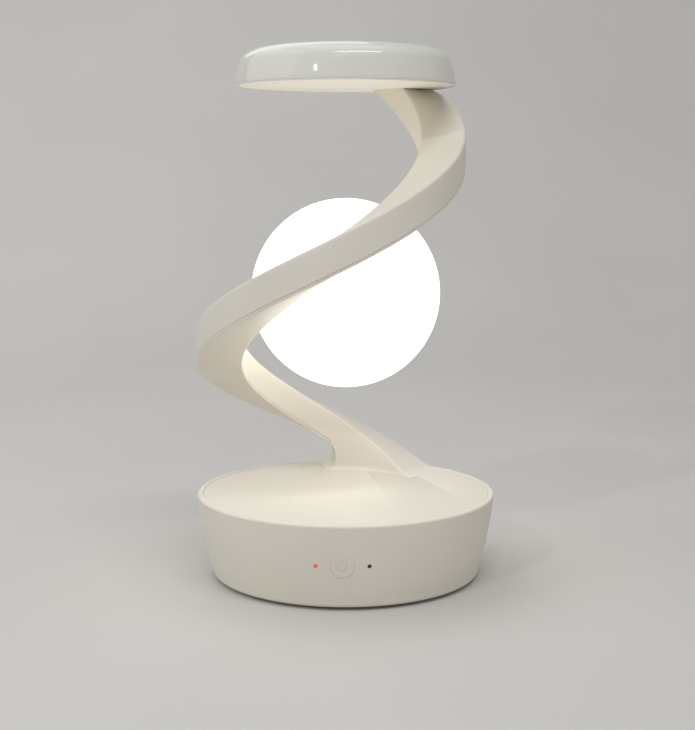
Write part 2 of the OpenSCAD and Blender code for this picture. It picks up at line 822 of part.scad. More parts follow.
module base_shell() {
    color(ivory) difference() {
        intersection() {
            base_outline();
            union() {
                difference() {
                    base_outline();
                    base_hollow();
                }
                disc(boss_r, bush_low, deck_top);
                cover_bosses();
                front_bosses();
                for (y = [-1, 1]) translate([motor_x, y * motor_ear_r, deck_low])
                    cylinder(r = screw_r + motor_boss_wall, h = deck_t + motor_boss_h);
            }
        }
        disc(bush_out_r + seat_gap, bush_low - 1, deck_top + 1);
        translate([motor_x, 0, deck_low - 1])
            cylinder(r = motor_nose_r + nose_gap, h = deck_t + 2);
        for (y = [-1, 1]) translate([motor_x, y * motor_ear_r, deck_low - 1])
            cylinder(r = screw_r + screw_gap, h = motor_screw_len - motor_ear_t + tip_gap + 1);
        for (a = cover_screw_angles) at(cover_screw_r, a, shell_z)
            cylinder(r = screw_r + screw_gap, h = cover_head_z + cover_screw_len + tip_gap);
        translate([0, 0, button_z]) {
            rod_y(button_r + button_gap, -far, -front_y);
            rod_y(lip_r + lip_gap, -lip_y - lip_gap, -front_y);
            for (x = [-1, 1]) {
                translate([x * lens_x, 0, 0]) rod_y(lens_r + screw_gap, -far, -front_y);
                translate([x * front_screw_x, 0, 0])
                    rod_y(screw_r + screw_gap, -front_y - front_screw_len + board_t - tip_gap,
                        -front_y + 1);
            }
        }
        translate([0, wall_r(usb_z) - base_wall - 2, usb_z]) rotate([-90, 0, 0])
            linear_extrude(far) stadium(usb_w + 2 * usb_gap, usb_h + 2 * usb_gap);
    }
}

module bottom_cover() {
    color(ivory) difference() {
        union() {
            disc(cover_hole_r - cover_gap, shell_z, cover_top);
            for (p = board_posts) translate([p[0], p[1], shell_z])
                cylinder(r = post_r, h = board_z - shell_z);
        }
        for (a = foot_angles) at(foot_circle_r, a, shell_z - 1)
            cylinder(r = foot_r + cover_gap, h = foot_recess + 1);
        for (a = cover_screw_angles) at(cover_screw_r, a, shell_z - 1) {
            cylinder(r = screw_head_r + screw_gap, h = cover_head_z + 1);
            cylinder(r = screw_r + screw_gap, h = cover_t + 2);
        }
        for (p = board_posts) translate([p[0], p[1], board_top - board_screw_len - tip_gap])
            cylinder(r = screw_r + screw_gap, h = board_screw_len);
    }
}

module cover_screws() {
    color(steel) for (a = cover_screw_angles)
        at(cover_screw_r, a, shell_z + cover_head_z) screw(cover_screw_len);
}

module rubber_feet() {
    color(black) for (a = foot_angles) at(foot_circle_r, a)
        rotate_extrude() polygon(concat(
            [[0, 0]],
            arc(foot_r - foot_edge, foot_edge, foot_edge, foot_edge, -90, 0, 4),
            [[foot_r, foot_proud + foot_recess], [0, foot_proud + foot_recess]]
        ));
}

module ballast_plate() {
    color(steel) difference() {
        disc(ballast_r, cover_top, cover_top + ballast_t, ring_hole_r);
        for (p = board_posts) translate([p[0], p[1], cover_top - 1])
            cylinder(r = post_r + ballast_gap, h = ballast_t + 2);
        for (a = cover_screw_angles) at(cover_screw_r, a, cover_top - 1)
            cylinder(r = cover_boss_r + ballast_gap, h = ballast_t + 2);
    }
}

module bearing_bush() {
    color(nylon) difference() {
        union() {
            disc(bush_out_r, bush_low, deck_top);
            disc(bush_flange_r, deck_top, deck_top + bush_flange_t);
        }
        disc(hub_r + run_gap, bush_low - 1, deck_top + bush_flange_t + 1);
    }
}

module thrust_washer() {
    z = deck_top + bush_flange_t;
    color(copper) disc(bush_flange_r - washer_gap, z, z + washer_t, hub_r + washer_gap);
}

module gear_motor() {
    color(steel) translate([motor_x, 0, 0]) difference() {
        union() {
            soft_disc(motor_r, deck_low - motor_h, deck_low, motor_edge);
            translate([0, 0, deck_low - motor_ear_t]) linear_extrude(motor_ear_t) {
                square([motor_ear_w, 2 * motor_ear_r], center = true);
                for (y = [-1, 1]) translate([0, y * motor_ear_r]) circle(d = motor_ear_w);
            }
            disc(motor_nose_r, deck_low - motor_ear_t, deck_low + motor_nose_h);
        }
        disc(shaft_r + run_gap, deck_low - motor_h + motor_floor, deck_top);
        for (y = [-1, 1]) translate([0, y * motor_ear_r, deck_low - 2 * motor_ear_t])
            cylinder(r = screw_r + screw_gap, h = 3 * motor_ear_t);
    }
}

module motor_screws() {
    color(steel) for (y = [-1, 1])
        translate([motor_x, y * motor_ear_r, deck_low - motor_ear_t]) screw(motor_screw_len);
}

module slip_ring_stator() {
    color(black) difference() {
        union() {
            disc(ring_body_r, cover_top, stator_top);
            disc(ring_flange_r, cover_top, cover_top + ring_flange_t);
        }
        disc(ring_shaft_r + run_gap, cover_top + ring_floor, stator_top + 1);
    }
}

module main_board() {
    color(board_green) translate([0, 0, board_z]) difference() {
        linear_extrude(board_t) intersection() {
            translate(board_box[0]) square(board_box[1] - board_box[0]);
            circle(r = board_edge_r);
        }
        for (p = board_posts) translate([p[0], p[1], -1])
            cylinder(r = screw_r + screw_gap, h = board_t + 2);
    }
}

// Capacitor, coils, driver chips and the plug for the leads, all on the main board
module board_parts() {
    color(black) translate([0, board_back, board_top]) {
        translate(capacitor_at) cylinder(r = capacitor_r, h = capacitor_h);
        for (p = choke_at) translate(p) cube(choke_size);
        for (p = driver_at) translate(p) cube(driver_size);
        translate(lead_plug_at) cube(lead_plug_size);
    }
}

module board_screws() {
    color(steel) for (p = board_posts)
        translate([p[0], p[1], board_top]) mirror([0, 0, 1]) screw(board_screw_len);
}

module usb_socket() {
    length = usb_front_y - usb_back_y;
    color(steel) translate([0, usb_back_y, usb_z]) rotate([-90, 0, 0]) {
        difference() {
            linear_extrude(length) stadium(usb_w, usb_h);
            translate([0, 0, usb_floor]) linear_extrude(length)
                stadium(usb_w - 2 * usb_wall, usb_h - 2 * usb_wall);
        }
        translate([-tongue_w / 2, -tongue_t / 2, usb_floor - eps])
            cube([tongue_w, tongue_t, length - usb_floor - tongue_back]);
    }
}

module front_board() {
    color(board_green) difference() {
        translate([-front_half_w, -front_y, button_z - front_half_h])
            cube([2 * front_half_w, board_t, 2 * front_half_h]);
        for (x = [-1, 1]) translate([x * front_screw_x, 0, button_z])
            rod_y(screw_r + screw_gap, -front_y - 1, -front_y + board_t + 1);
    }
}

module front_screws() {
    color(steel) for (x = [-1, 1])
        translate([x * front_screw_x, -front_y + board_t, button_z])
            rotate([90, 0, 0]) screw(front_screw_len);
}

module switch_body() {
    color(black) difference() {
        translate([-switch_w / 2, -switch_y, button_z - switch_w / 2])
            cube([switch_w, switch_depth, switch_w]);
        translate([0, 0, button_z])
            rod_y(plunger_r + 2 * run_gap, -switch_y - 1, -switch_y + switch_depth - plunger_floor);
    }
}

module status_leds() {
    color(gloss_white) for (x = [-1, 1])
        translate([x * lens_x, 0, button_z]) rod_y(led_r, -front_y - led_len, -front_y);
}

// Light pipe from a status light to the face of the wall
module status_lens(x) {
    intersection() {
        translate([x, 0, button_z]) rod_y(lens_r, -far, -front_y - led_len - led_gap);
        base_outline();
    }
}

module power_lens() {
    color("#e0604f") status_lens(-lens_x);
}

module charge_lens() {
    color("#453f33") status_lens(lens_x);
}

// Button body

module power_button() {
    color(ivory) translate([0, 0, button_z]) {
        intersection() {
            rod_y(button_r, -far, -lip_y + lip_t);
            translate([0, 0, -button_z]) base_outline(button_proud);
        }
        rod_y(lip_r, -lip_y, -lip_y + lip_t);
        rod_y(stem_r, -lip_y, -plunger_y);
    }
}

module switch_plunger() {
    color(black) translate([0, 0, button_z])
        rod_y(plunger_r, -plunger_y, -plunger_y + plunger_len);
}

// Pinion body

module motor_shaft() {
    low = deck_low - motor_h + motor_floor + shaft_end_gap;
    color(steel) translate([motor_x, 0, 0]) disc(shaft_r, low, gear_top);
}

module motor_pinion() {
    color(nylon) translate([motor_x, 0, gear_low - pinion_over]) difference() {
        linear_extrude(gear_face + pinion_over) rotate([0, 0, 180 / pinion_teeth])
            polygon(gear_points(pinion_teeth, pinion_tip));
        translate([0, 0, -1]) cylinder(r = shaft_r + press_gap, h = gear_face + 3);
    }
}

// Turntable body

module turntable_plate() {
    color(ivory) difference() {
        union() {
            rotate_extrude() polygon(concat(
                [[0, plate_low], [plate_r, plate_low]],
                arc(plate_r - plate_edge, plate_top - plate_edge, plate_edge, plate_edge, 0, 90, 4),
                [[0, plate_top]]
            ));
            disc(shoulder_r, shoulder_z, plate_low + eps);
            disc(hub_r, hub_low, plate_low);
            for (a = gear_screw_angles) at(gear_screw_r, a, gear_top)
                cylinder(r = post_r, h = gear_standoff + eps);
        }
        disc(hub_bore_r, hub_low - 1, plate_low);
        disc(far, clip_top - clip_t - seat_gap, clip_top + seat_gap, hub_r - clip_depth);
        for (a = gear_screw_angles) at(gear_screw_r, a, gear_top - 1)
            cylinder(r = screw_r + screw_gap, h = 1 + thin_bite + tip_gap);
        rotate([0, 0, port_angle]) translate([0, -groove_w / 2, plate_low - groove_under])
            cube([port_r, groove_w, groove_deep + groove_under]);
        at(port_r, port_angle, plate_low - 1) cylinder(r = cable_hole_r, h = plate_t + 2);
        for (p = foot_screws) at(p[1], p[0], plate_low - 1)
            cylinder(r = screw_r + screw_gap, h = plate_t + 2);
    }
}

module turntable_gear() {
    color(nylon) translate([0, 0, gear_low]) difference() {
        linear_extrude(gear_face) polygon(gear_points(gear_teeth, gear_tip));
        translate([0, 0, -1]) cylinder(r = gear_bore_r, h = gear_face + 2);
        for (a = gear_screw_angles) at(gear_screw_r, a, -1) {
            cylinder(r = screw_r + screw_gap, h = gear_face + 2);
            cylinder(r = screw_head_r + screw_gap, h = 1 + gear_head_z);
        }
        for (a = gear_screw_angles) at(gear_screw_r, a + gear_window_turn, -1)
            cylinder(r = gear_window_r, h = gear_face + 2);
    }
}

module gear_screws() {
    color(steel) for (a = gear_screw_angles)
        at(gear_screw_r, a, gear_low + gear_head_z) screw(gear_screw_len);
}

module retaining_clip() {
    color(steel) difference() {
        disc(hub_r + clip_out, clip_top - clip_t, clip_top, hub_r - clip_depth + press_gap);
        translate([-clip_slot / 2, 0, clip_top - 2 * clip_t])
            cube([clip_slot, hub_r + 2 * clip_out, 3 * clip_t]);
    }
}

module slip_ring_rotor() {
    color(black) {
        disc(hub_bore_r - seat_gap, plug_low, plug_top);
        disc(ring_shaft_r, cover_top + ring_floor + ring_end_gap, plug_low + eps);
    }
}

// Holes in the arm: cable, screws and the stud of the globe
module arm_holes() {
    bore(mix(polar(port_r, port_angle, plate_top), inlet, -0.1), inlet, cable_r + cable_play);
    for (p = foot_screws) at(p[1], p[0], plate_top - 1)
        cylinder(r = screw_r + screw_gap, h = 1 + thin_bite + screw_end_gap);
    at(hole_line_r, hole_angle, pad_floor - 2 * arm_roof) cylinder(r = cable_hole_r, h = 3 * arm_roof);
    for (r = top_screws) at(r, top_screw_angle, pad_floor - thin_bite - screw_end_gap)
        cylinder(r = screw_r + screw_gap, h = top_screw_len);
    globe_frame() rod_x(stud_r + screw_gap, 0, nut_x + nut_t);
}

module spiral_arm() {
    color(ivory) difference() {
        union() {
            skin([for (s = concat(foot_stations(), hollow_stations(), turn_stations(seam_angle)))
                arm_section(s)]);
            globe_frame() rod_x(stud_boss_r, lip_out_x + neck_gap, arm_face_x + arm_wall * 3 / 4);
        }
        arm_holes();
    }
}

module arm_cover() {
    color(ivory) skin([for (s = turn_stations(2 * seam_angle)) strip_section(s)]);
}

module arm_screws() {
    color(steel) for (p = foot_screws) at(p[1], p[0], plate_low) screw(foot_screw_len);
}

module arm_cable() {
    color(black) tube(concat(
        cut_corners(cable_low_route(), 1), cable_channel(), cut_corners(cable_high_route(), 1)
    ), cable_r, 8);
}

module globe() {
    color(opal) translate([0, 0, globe_z]) difference() {
        sphere(r = globe_r);
        sphere(r = globe_r - globe_wall);
        rotate([0, 0, globe_angle]) rod_x(mouth_r, 0, arm_face_x);
    }
}

module globe_neck() {
    color(gloss_white) globe_frame() difference() {
        union() {
            rod_x(mouth_r - neck_play, neck_in_x, lip_out_x);
            rod_x(barb_r, neck_in_x, barb_x);
            rod_x(neck_lip_r, lip_in_x, lip_out_x);
            rod_x(stud_r, neck_in_x, stud_end_x);
        }
        rod_x(lead_r + lead_play, neck_in_x - 1, lead_end_x);
        translate([neck_in_x - 1, -stick_w / 2 - slot_play, -stick_t / 2 - slot_play])
            cube([slot_depth + 1, stick_w + 2 * slot_play, stick_t + 2 * slot_play]);
    }
}

module globe_nut() {
    color(steel) globe_frame() difference() {
        rod_x(nut_r, nut_x, nut_x + nut_t);
        rod_x(stud_r + seat_gap, nut_x - 1, nut_x + nut_t + 1);
    }
}

module globe_lead() {
    color(black) globe_frame() rod_x(lead_r, neck_in_x + slot_depth, lead_end_x);
}

module led_stick() {
    color(gloss_white) globe_frame()
        translate([neck_in_x + slot_depth - slot_play - stick_len, -stick_w / 2, -stick_t / 2])
            cube([stick_len, stick_w, stick_t]);
}

module led_chips() {
    first = neck_in_x - chip_w - chip_margin;
    pitch = (stick_len - slot_depth - chip_w - 2 * chip_margin) / chip_rows;
    color("#f2dc8a") globe_frame() for (i = [0:chip_rows - 1], side = [-1, 1])
        translate([first - i * pitch, -chip_w / 2, side > 0 ? stick_t / 2 : -stick_t / 2 - chip_t])
            cube([chip_w, chip_w, chip_t]);
}

module pad_top() {
    inner_h = pad_shoulder_h - pad_wall;
    inner_w = pad_shoulder_w - pad_wall;
    color(gloss_white) difference() {
        rotate_extrude() polygon(concat(
            [
                [pad_base_r + pad_fit, pad_low], [pad_r - pad_lip, pad_low], [pad_r, pad_low + pad_lip]
            ],
            arc(pad_flat_r, pad_shoulder_z, pad_shoulder_w, pad_shoulder_h, 0, 90, 10),
            [[0, pad_top_z], [0, pad_top_z - pad_wall]],
            arc(pad_flat_r, pad_shoulder_z, inner_w, inner_h, 90, 0, 8),
            [
                [pad_seat_r, pad_base_top + pad_fit / 2],
                [pad_base_r + pad_fit, pad_base_top + pad_fit / 2]
            ]
        ));
        disc(grip_out_r + grip_play, pad_top_z - grip_depth, pad_top_z + 1, grip_in_r - grip_play);
    }
}

module pad_base() {
    color(ivory) difference() {
        union() {
            disc(pad_base_r, pad_floor, pad_base_top);
            for (a = pad_post_angles) at(pad_posts_r, a, pad_floor)
                cylinder(r = pad_post_r, h = coil_board_low - pad_floor);
        }
        at(hole_line_r, hole_angle, pad_floor - 1) cylinder(r = cable_hole_r, h = pad_base_t + 2);
        for (r = top_screws) at(r, top_screw_angle, pad_floor - 1)
            cylinder(r = screw_r + screw_gap, h = pad_base_t + 2);
    }
}

module pad_screws() {
    color(steel) for (r = top_screws) at(r, top_screw_angle, pad_base_top)
        mirror([0, 0, 1]) screw(top_screw_len);
}

// Flat winding: the outer and the inner edge of one unbroken spiral
module charging_coil() {
    steps = coil_turns * 30;
    inner = coil_r - coil_turns * wire_pitch - wire_w;
    edge = function (i, side) let(r = inner + wire_pitch * i / 30 + side, a = 12 * i)
        r * [cos(a), sin(a)];
    color(copper) translate([0, 0, coil_low]) linear_extrude(wire_h) polygon(concat(
        [for (i = [0:steps]) edge(i, wire_w)],
        [for (i = [steps:-1:0]) edge(i, 0)]
    ));
}

module ferrite_disc() {
    color(black) disc(ferrite_r, ferrite_low, coil_low);
}

module coil_board() {
    color(board_green) disc(coil_board_r, coil_board_low, ferrite_low);
}

// Charger chip and its capacitors, under the coil board
module coil_parts() {
    color(black) translate([0, 0, coil_board_low]) {
        hung_box(charger_size);
        for (side = [-1, 1]) translate([side * coil_part_x, 0, 0]) hung_box(coil_part_size);
    }
}

module grip_ring() {
    color("#d8d6cf") disc(grip_out_r, pad_top_z - grip_depth, pad_top_z + grip_proud, grip_in_r);
}

base_shell();
bottom_cover();
cover_screws();
rubber_feet();
ballast_plate();
bearing_bush();
thrust_washer();
gear_motor();
motor_screws();
slip_ring_stator();
main_board();
board_parts();
board_screws();
usb_socket();
front_board();
front_screws();
switch_body();
status_leds();
power_lens();
charge_lens();
power_button();
switch_plunger();
motor_shaft();
motor_pinion();
turntable_plate();
turntable_gear();
gear_screws();
retaining_clip();
slip_ring_rotor();
spiral_arm();
arm_cover();
arm_screws();
arm_cable();
globe();
globe_neck();
globe_nut();
globe_lead();
led_stick();
led_chips();
pad_top();
pad_base();
pad_screws();
charging_coil();
ferrite_disc();
coil_board();
coil_parts();
grip_ring();
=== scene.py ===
# Looks of the wireless charging lamp: smooth shells, finishes, studio and camera round the packed
# solids. Metres, +Z up, the power button faces -Y. Angles are in degrees, anticlockwise from +X.
import math

import bmesh
import bpy
from mathutils import Matrix, Vector


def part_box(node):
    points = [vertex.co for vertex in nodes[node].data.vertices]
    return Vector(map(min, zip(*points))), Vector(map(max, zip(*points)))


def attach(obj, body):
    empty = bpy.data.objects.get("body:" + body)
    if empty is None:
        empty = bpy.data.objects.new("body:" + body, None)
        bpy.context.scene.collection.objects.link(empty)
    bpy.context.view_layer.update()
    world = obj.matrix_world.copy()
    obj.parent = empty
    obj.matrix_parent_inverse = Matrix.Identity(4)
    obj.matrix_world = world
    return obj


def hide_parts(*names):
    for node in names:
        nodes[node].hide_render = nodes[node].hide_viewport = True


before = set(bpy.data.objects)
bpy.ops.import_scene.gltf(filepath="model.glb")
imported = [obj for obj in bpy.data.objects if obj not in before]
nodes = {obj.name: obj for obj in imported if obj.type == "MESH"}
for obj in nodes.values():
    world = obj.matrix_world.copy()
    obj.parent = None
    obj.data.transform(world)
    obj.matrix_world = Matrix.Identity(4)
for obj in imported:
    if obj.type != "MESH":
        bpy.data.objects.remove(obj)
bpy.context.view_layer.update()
MM = 0.001

# Levels and radii that the solids give
plate_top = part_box("spiral_arm")[0].z
pad_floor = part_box("pad_base")[0].z
pad_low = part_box("pad_top")[0].z
pad_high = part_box("pad_top")[1].z
pad_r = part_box("pad_top")[1].x
globe_low, globe_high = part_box("globe")
globe_r = (globe_high.z - globe_low.z) / 2
globe_z = (globe_high.z + globe_low.z) / 2
shell_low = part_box("base_shell")[0].z
shell_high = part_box("base_shell")[1].z
plate_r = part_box("turntable_plate")[1].x

# Outside of the casing
casing_foot_r = 53.6 * MM
casing_rim_r = 60 * MM
casing_bow = 0.75 * MM

# Spiral ribbon
arm_start = 61.2
arm_sink = 1.1 * MM
arm_lead_foot = 180.5 * MM
arm_lead_top = 155.3 * MM
arm_radii = (57.2 * MM, 69 * MM, 48.2 * MM, 42.6 * MM)
arm_widths = (18.9 * MM, 17.1 * MM)
arm_thick = 13.9 * MM
arm_wall = 2 * MM
arm_roof = 2.2 * MM
arm_edge = 1 * MM
root_angle = 100.2
root_hollow = 2.3 * MM
root_lean = 0.9 * MM
root_flare = 1 * MM
strip_thick = 1.2 * MM
strip_gap = 0.15 * MM
edge_lean = 1.5
foot_reach_r = plate_r - 0.35 * MM
head_reach_r = pad_r - 2 * MM
thin_end = 0.35 * MM
toe_run = 2.5
toe_least = 0.05
side_fillet = 1.8 * MM
side_fillet_share = 0.6
end_fillet = 3.4 * MM
least_edge = 0.1 * MM
seat_groove = 0.05 * MM
groove_share = 0.3
channel_fade = 5
channel_past = 10
root_split_share = 0.35
hollow_crowding = 1.6

# Turntable plate: the band at its rim, and how far it is brought out
rim_band = 0.3 * MM
rim_close = 0.12 * MM

# Globe, with its mouth towards the neck
globe_angle = 229.2
globe_wall = 2 * MM
mouth_r = 4.6 * MM

# Charging pad
pad_lean = 1.6 * MM
pad_shoulder_w = 10.4 * MM
pad_shoulder_h = 6.7 * MM
pad_wall = 1.8 * MM
pad_lip = 0.6 * MM
pad_bow = 0.25
pad_side_steps = 8
shoulder_start = 8.5
seat_step = 0.4 * MM
seat_lap = 1.2 * MM
seat_gap = 0.1 * MM
pad_base_top = pad_floor + 2 * MM

# Grip ring on the pad
grip_low, grip_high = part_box("grip_ring")
grip_out_r = grip_high.x
grip_in_r = grip_out_r - 4 * MM
grip_ribs = 5
grip_rib_h = 0.2 * MM
groove_floor = grip_low.z - 0.02 * MM
groove_gap = 0.1 * MM
groove_soft = 0.15 * MM

# Power button, with its guide lip and stem behind the wall
button_low, button_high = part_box("power_button")
button_z = (button_low.z + button_high.z) / 2
button_lip_r = button_high.x
button_r = button_lip_r - 1.2 * MM
button_proud = 0.2 * MM
button_soft = 0.2 * MM
button_lip = 1 * MM
button_stem = 1.8 * MM
button_stem_r = 1.6 * MM
mark_r = 1.7 * MM
mark_line = 0.32 * MM
mark_gap = 70
mark_bar = 1.9 * MM
mark_proud = 0.02 * MM

# Cover screws and feet under the base
screw_low, screw_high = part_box("cover_screws")
screw_head_r = 2.2 * MM
screw_head_h = 1.2 * MM
screw_shank_r = 1.1 * MM
screw_soft = 0.25 * MM
screw_tip_share = 0.25
recess_long = 0.6 * screw_head_r
recess_half = 0.16 * screw_head_r
recess_depth = 0.6 * screw_head_h
recess_taper = 0.6
screw_circle_r = (screw_high.x - screw_head_r) * math.sqrt(2)
foot_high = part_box("rubber_feet")[1]
foot_r = 6 * MM
foot_soft = 0.6 * MM
foot_groove = 0.25 * MM
foot_circle_r = foot_high.x - foot_r

# Contacts of the USB-C socket
usb_low, usb_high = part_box("usb_socket")
contact_count = 12
contact_pitch = 0.5 * MM
contact_size = Vector((0.25, 4, 0.05)) * MM
tongue_thick = 0.7 * MM
tongue_back = 1 * MM

# Camera, fitted to the photograph's 695 by 730 frame
image_h = 730
focal_px = 1380.6
sensor_mm = 36
camera_angle = -88.8
camera_distance = 549.4 * MM
camera_height = 160.5 * MM
camera_pitch = 7.82
camera_pan = 0.076


def mix(a, b, t):
    return a + (b - a) * t


def polar(radius, angle, z):
    turn = math.radians(angle)
    return Vector((radius * math.cos(turn), radius * math.sin(turn), z))


def arc(cx, cy, rx, ry, first, last, steps):
    """Points of an elliptical arc in a plane."""
    points = []
    for i in range(steps + 1):
        turn = math.radians(mix(first, last, i / steps))
        points.append((cx + rx * math.cos(turn), cy + ry * math.sin(turn)))
    return points


def casing_r(z):
    share = (z - shell_low) / (shell_high - shell_low)
    return mix(casing_foot_r, casing_rim_r, share) + 4 * casing_bow * share * (1 - share)


# Finishes


def linear(code):
    """Linear colour of an sRGB hex value."""
    parts = [int(code[i:i + 2], 16) / 255 for i in (1, 3, 5)]
    return [c / 12.92 if c <= 0.04045 else ((c + 0.055) / 1.055) ** 2.4 for c in parts] + [1]


def add(tree, kind, inputs=None, **settings):
    """Add a node with its settings. An input is a plain value, or the socket that is linked to it."""
    node = tree.nodes.new(kind)
    for name, value in settings.items():
        setattr(node, name, value)
    for key, value in (inputs or {}).items():
        if isinstance(value, bpy.types.NodeSocket):
            tree.links.new(value, node.inputs[key])
        else:
            node.inputs[key].default_value = value
    return node


def finish(name, colour, **shader):
    """New material with a principled shader. Gives the material, its tree, shader and coordinates."""
    material = bpy.data.materials.new(name)
    material.use_nodes = True
    tree = material.node_tree
    bsdf = tree.nodes["Principled BSDF"]
    bsdf.inputs["Base Color"].default_value = linear(colour)
    for key, value in shader.items():
        bsdf.inputs[key.replace("_", " ").title().replace("Ior", "IOR")].default_value = value
    place = add(tree, "ShaderNodeTexCoord").outputs["Object"]
    return material, tree, bsdf, place


def mottle(tree, bsdf, place, light, dark, size):
    """Colour that drifts between two tones over a distance in metres."""
    cloud = add(tree, "ShaderNodeTexNoise", {"Vector": place, "Scale": 1 / size, "Detail": 3.0})
    ramp = add(tree, "ShaderNodeValToRGB", {"Fac": cloud.outputs["Fac"]})
    ramp.color_ramp.elements[0].position = 0.35
    ramp.color_ramp.elements[0].color = linear(dark)
    ramp.color_ramp.elements[1].position = 0.65
    ramp.color_ramp.elements[1].color = linear(light)
    tree.links.new(ramp.outputs["Color"], bsdf.inputs["Base Color"])


def grain(tree, bsdf, place, size, height, rough=None):
    """Fine relief of a grain size and height in metres, with roughness that varies with it."""
    fine = add(tree, "ShaderNodeTexNoise", {"Vector": place, "Scale": 1 / size, "Detail": 2.0})
    bump = add(tree, "ShaderNodeBump",
               {"Height": fine.outputs["Fac"], "Distance": height, "Strength": 1.0})
    tree.links.new(bump.outputs["Normal"], bsdf.inputs["Normal"])
    if rough:
        spread = add(tree, "ShaderNodeMapRange",
                     {"Value": fine.outputs["Fac"], "To Min": rough[0], "To Max": rough[1]})
        tree.links.new(spread.outputs["Result"], bsdf.inputs["Roughness"])


def moulded_abs(name, light, dark):
    # ABS from a spark-eroded mould: a soft satin with a fine even grain. The real grain is about
    # 0.1 mm and is drawn at 0.5 mm, so that it shows.
    material, tree, bsdf, place = finish(name, light, ior=1.53)
    mottle(tree, bsdf, place, light, dark, 40 * MM)
    grain(tree, bsdf, place, 0.5 * MM, 0.012 * MM, (0.42, 0.54))
    return material


def polished_abs(name, light, dark):
    # ABS from a polished mould: clear reflections that a slight waviness bends.
    material, tree, bsdf, place = finish(name, light, ior=1.53)
    mottle(tree, bsdf, place, light, dark, 50 * MM)
    grain(tree, bsdf, place, 9 * MM, 0.02 * MM, (0.045, 0.07))
    return material


def lit_opal(name, colour, glow, strength):
    # Opal polycarbonate, lit from inside, so evenly bright, with a fine satin outside.
    material, tree, bsdf, place = finish(name, colour, ior=1.58, emission_strength=strength)
    bsdf.inputs["Emission Color"].default_value = linear(glow)
    grain(tree, bsdf, place, 0.6 * MM, 0.01 * MM, (0.3, 0.4))
    return material


def soft_rubber(name, light, dark):
    # Silicone or nitrile: matte, with a fine powdery grain.
    material, tree, bsdf, place = finish(name, light, ior=1.43)
    mottle(tree, bsdf, place, light, dark, 9 * MM)
    grain(tree, bsdf, place, 0.4 * MM, 0.02 * MM, (0.7, 0.85))
    return material


def plated_steel(name, light, dark):
    # Zinc-plated steel: a grey metal with fine turned marks and a cloudy plating.
    material, tree, bsdf, place = finish(name, light, metallic=1.0)
    mottle(tree, bsdf, place, light, dark, 2.5 * MM)
    grain(tree, bsdf, place, 0.3 * MM, 0.006 * MM, (0.28, 0.42))
    return material


def moulded_nylon(name, light, dark):
    # Nylon or acetal gear plastic: waxy and slightly cloudy.
    material, tree, bsdf, place = finish(name, light, ior=1.53)
    mottle(tree, bsdf, place, light, dark, 12 * MM)
    grain(tree, bsdf, place, 0.5 * MM, 0.01 * MM, (0.38, 0.5))
    return material


def solder_mask(name, light, dark):
    # Lacquered glass-fibre board: the weave shows through the lacquer as fine squares.
    material, tree, bsdf, place = finish(name, light, ior=1.5, coat_weight=0.3)
    mottle(tree, bsdf, place, light, dark, 6 * MM)
    weave = add(tree, "ShaderNodeTexChecker", {"Vector": place, "Scale": 1 / (0.8 * MM)})
    bump = add(tree, "ShaderNodeBump",
               {"Height": weave.outputs["Fac"], "Distance": 0.01 * MM, "Strength": 0.4})
    tree.links.new(bump.outputs["Normal"], bsdf.inputs["Normal"])
    bsdf.inputs["Roughness"].default_value = 0.35
    return material


def clear_lens(name, colour, glow):
    # Acrylic light pipe: polished, and lit through where its light is on.
    material, tree, bsdf, place = finish(name, colour, ior=1.49, emission_strength=glow)
    bsdf.inputs["Emission Color"].default_value = linear(colour)
    grain(tree, bsdf, place, 0.3 * MM, 0.004 * MM, (0.15, 0.25))
    return material


casing_white = moulded_abs("warm white ABS, spark-eroded", "#ebe6da", "#e7e2d5")
button_white = moulded_abs("warm white ABS, button", "#eae5d9", "#e6e1d4")
# The pad base is a lighter copy of the casing's white: painted bounce light from the table and the globe
# on the pad's underside.
pad_white_painted_bounce = moulded_abs("warm white ABS, pad base, painted bounce light", "#f3eee2", "#efeadd")
mark_print = moulded_abs("grey pad print", "#d9d4c7", "#d4cfc1")
gloss_white = polished_abs("white ABS, polished", "#e8e8e1", "#e4e4dc")
opal_light = lit_opal("opal polycarbonate, lit", "#fdfcf8", "#fffcf6", 1.6)
black_rubber = soft_rubber("black nitrile rubber", "#2c2c2e", "#232325")
pale_silicone = soft_rubber("pale grey silicone", "#d3d1ca", "#cac8c0")
zinc_steel = plated_steel("zinc-plated steel", "#b9bcc0", "#9fa3a8")
ballast_iron = plated_steel("zinc-plated ballast plate", "#9a9da1", "#83868a")
natural_nylon = moulded_nylon("natural nylon", "#d9d4c6", "#cfc9b8")
bronze = plated_steel("sintered bronze", "#a8763f", "#8d6233")
copper_wire = plated_steel("enamelled copper wire", "#b87345", "#9c5e36")
green_board = solder_mask("green solder mask", "#2f6b45", "#285c3b")
white_board = solder_mask("white solder mask", "#f0efea", "#e6e5df")
phosphor = moulded_nylon("yellow phosphor", "#f2dc8a", "#e8cf74")
black_resin = moulded_nylon("black epoxy resin", "#2b2b2d", "#222224")
ferrite = soft_rubber("sintered ferrite", "#2e2c2c", "#252323")
cable_jacket = soft_rubber("black cable jacket", "#2b2b2d", "#242426")
clear_epoxy = moulded_nylon("clear epoxy", "#f0efea", "#e6e5df")
red_lens = clear_lens("red acrylic, lit", "#e0523f", 0.45)
dark_lens = clear_lens("smoked acrylic", "#3a352b", 0.0)
gold_plate = plated_steel("gold-plated contact", "#d6b25e", "#c39d48")

